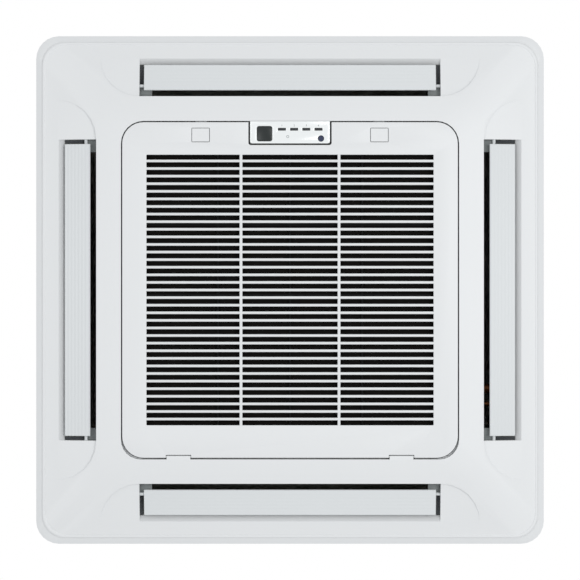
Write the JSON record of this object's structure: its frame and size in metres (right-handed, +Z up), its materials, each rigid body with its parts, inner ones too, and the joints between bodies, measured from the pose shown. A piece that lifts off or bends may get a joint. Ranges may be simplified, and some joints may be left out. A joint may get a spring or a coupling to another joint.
{
  "type": "ceiling cassette air conditioner",
  "caption": "Square four-way ceiling cassette: white panel with hinged slatted intake grille and four swinging flaps, steel unit with fan, heat exchanger and drain above the ceiling.",
  "frame": {"origin": "centre of the panel, in the plane of the ceiling's underside", "axes": "+Z up into the ceiling void; +X to the right and +Y to the back, seen from above with the display at the front (-Y)"},
  "size_m": [0.647, 0.647, 0.3105],
  "materials": {
    "white_plastic": "satin",
    "gloss_white": "gloss",
    "grey_plastic": "satin",
    "dark_lens": "gloss",
    "lamp_lens": "gloss",
    "button_blue": "satin",
    "circuit_board": "matte",
    "foam": "matte",
    "foam_seal": "matte",
    "filter_net": "matte",
    "filter_frame": "satin",
    "zinc_sheet": "satin",
    "steel": "satin",
    "black_plastic": "satin",
    "motor_paint": "satin",
    "fin_aluminium": "satin",
    "copper": "satin",
    "brass": "satin",
    "white_pipe": "satin",
    "float_blue": "matte"
  },
  "bodies": {
    "unit": {"panel_frame": "white_plastic", "display_housing": "white_plastic", "display_cover": "gloss_white", "flap_motor_front": "grey_plastic", "flap_motor_right": "grey_plastic", "flap_motor_rear": "grey_plastic", "flap_motor_left": "grey_plastic", "receiver_window": "dark_lens", "indicator_light_guide": "lamp_lens", "display_board": "circuit_board", "control_board": "circuit_board", "outlet_liner_front": "foam", "outlet_liner_right": "foam", "outlet_liner_rear": "foam", "outlet_liner_left": "foam", "casing_insulation": "foam", "drain_pan": "foam", "duct_seal": "foam_seal", "casing_shell": "zinc_sheet", "fresh_air_cover": "zinc_sheet", "pipe_cover_plate": "zinc_sheet", "hanger_bracket_1": "zinc_sheet", "hanger_bracket_2": "zinc_sheet", "hanger_bracket_3": "zinc_sheet", "hanger_bracket_4": "zinc_sheet", "motor_mount": "zinc_sheet", "electric_box": "zinc_sheet", "electric_box_lid": "zinc_sheet", "coil_end_plate_rear": "zinc_sheet", "coil_end_plate_right": "zinc_sheet", "panel_bolt_1": "steel", "panel_bolt_2": "steel", "panel_bolt_3": "steel", "panel_bolt_4": "steel", "bell_mouth": "black_plastic", "terminal_block": "black_plastic", "fan_motor": "motor_paint", "coil_fins": "fin_aluminium", "gas_pipe": "copper", "liquid_pipe": "copper", "gas_flare_nut": "brass", "liquid_flare_nut": "brass", "drain_pump": "white_pipe", "drain_tube": "white_pipe", "float_switch": "white_pipe"},
    "grille": {"intake_grille": "white_plastic", "filter_frame": "filter_frame", "filter_net": "filter_net"},
    "latch_left": {"latch_left": "white_plastic"},
    "latch_right": {"latch_right": "white_plastic"},
    "flap_front": {"flap_front": "white_plastic"},
    "flap_right": {"flap_right": "white_plastic"},
    "flap_rear": {"flap_rear": "white_plastic"},
    "flap_left": {"flap_left": "white_plastic"},
    "fan": {"turbo_fan": "black_plastic", "motor_shaft": "steel", "fan_nut": "brass"},
    "impeller": {"pump_impeller": "grey_plastic"},
    "float": {"float": "float_blue"},
    "button": {"manual_button": "button_blue"}
  },
  "joints": [
    {"name": "grille_hinge", "type": "hinge", "parent": "unit", "child": "grille", "pos_m": [0, 0.211, -0.0264], "axis": [1, 0, 0], "range_deg": [0, 88]},
    {"name": "latch_left_press", "type": "hinge", "parent": "grille", "child": "latch_left", "pos_m": [-0.113, -0.1876, -0.0255], "axis": [-1, 0, 0], "range_deg": [0, 10], "stiffness_Nm_per_rad": 0.02, "springref_deg": -5.73},
    {"name": "latch_right_press", "type": "hinge", "parent": "grille", "child": "latch_right", "pos_m": [0.113, -0.1876, -0.0255], "axis": [-1, 0, 0], "range_deg": [0, 10], "stiffness_Nm_per_rad": 0.02, "springref_deg": -5.73},
    {"name": "flap_front_swing", "type": "hinge", "parent": "unit", "child": "flap_front", "pos_m": [0, -0.2592, -0.01219], "axis": [1, 0, 0], "range_deg": [0, 60]},
    {"name": "flap_right_swing", "type": "hinge", "parent": "unit", "child": "flap_right", "pos_m": [0.2592, 0, -0.01219], "axis": [0, 1, 0], "range_deg": [0, 60]},
    {"name": "flap_rear_swing", "type": "hinge", "parent": "unit", "child": "flap_rear", "pos_m": [0, 0.2592, -0.01219], "axis": [-1, 0, 0], "range_deg": [0, 60]},
    {"name": "flap_left_swing", "type": "hinge", "parent": "unit", "child": "flap_left", "pos_m": [-0.2592, 0, -0.01219], "axis": [0, -1, 0], "range_deg": [0, 60]},
    {"name": "fan_spin", "type": "hinge", "parent": "unit", "child": "fan", "pos_m": [0, 0, 0.14], "axis": [0, 0, 1], "continuous": true},
    {"name": "impeller_spin", "type": "hinge", "parent": "unit", "child": "impeller", "pos_m": [0.187, 0.187, 0.05], "axis": [0, 0, 1], "continuous": true},
    {"name": "float_rise", "type": "slide", "parent": "unit", "child": "float", "axis": [0, 0, 1], "range_m": [0, 0.014]},
    {"name": "button_press", "type": "slide", "parent": "unit", "child": "button", "axis": [0, 0, 1], "range_m": [0, 0.001], "stiffness_N_per_m": 60, "springref_m": -0.0005}
  ]
}
